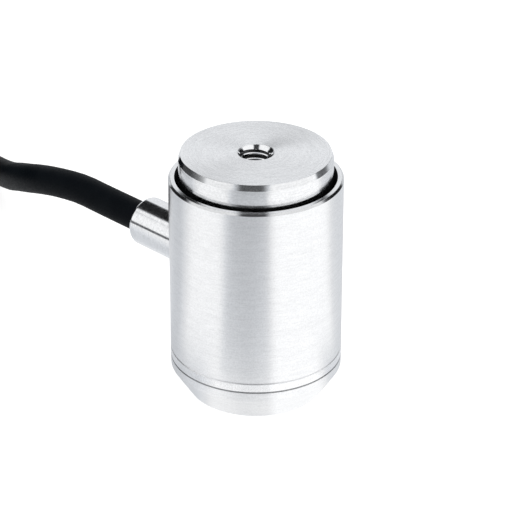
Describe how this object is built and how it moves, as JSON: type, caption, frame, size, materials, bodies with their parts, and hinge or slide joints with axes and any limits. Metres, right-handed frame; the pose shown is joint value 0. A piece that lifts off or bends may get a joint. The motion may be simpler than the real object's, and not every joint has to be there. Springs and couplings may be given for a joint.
{
  "type": "canister load cell",
  "caption": "Round steel compression and tension load cell with a threaded load head, a threaded foot and a side gland with a free cable.",
  "frame": {"origin": "centre of the foot's flat face, on the load axis, at the mouth of the foot's threaded hole", "axes": "+Z along the load axis from the foot to the load face; the cable leaves along -X"},
  "size_m": [0.187, 0.0524, 0.045],
  "materials": {
    "turned_steel": "fine turned",
    "sheet_steel": "smooth",
    "gauge_film": "amber film with a foil grid",
    "bridge_wire": "enamelled",
    "board_laminate": "solder mask",
    "spacer_nylon": "satin",
    "screw_steel": "plated",
    "solder": "smooth",
    "pin_brass": "plated",
    "resistor_chip": "matte",
    "resistor_glaze": "glazed",
    "polished_steel": "polished",
    "washer_brass": "satin",
    "seal_rubber": "matte",
    "crimp_brass": "satin",
    "potting_resin": "cast",
    "red_core": "satin",
    "black_core": "satin",
    "green_core": "satin",
    "white_core": "satin",
    "drain_wire": "tinned",
    "cable_jacket": "matte",
    "strap": "woven",
    "lead_insulation": "satin"
  },
  "bodies": {
    "root": {"sensing_element": "turned_steel", "casing_tube": "turned_steel", "load_head": "turned_steel", "diaphragm": "sheet_steel", "axial_gauges": "gauge_film", "transverse_gauges": "gauge_film", "bridge_wires": "bridge_wire", "circuit_board": "board_laminate", "board_spacers": "spacer_nylon", "board_screws": "screw_steel", "solder_pads": "solder", "terminal_pins": "pin_brass", "trim_resistors": "resistor_chip", "temperature_resistors": "resistor_glaze", "gland_barrel": "polished_steel", "outer_washer": "washer_brass", "cable_seal": "seal_rubber", "inner_washer": "washer_brass", "crimp_sleeve": "crimp_brass", "potting_plug": "potting_resin", "red_core": "red_core", "black_core": "black_core", "green_core": "green_core", "white_core": "white_core", "drain_wire": "drain_wire", "cable": "cable_jacket", "cable_hank": "cable_jacket", "hank_strap": "strap", "lead_ends": "lead_insulation"}
  },
  "joints": []
}
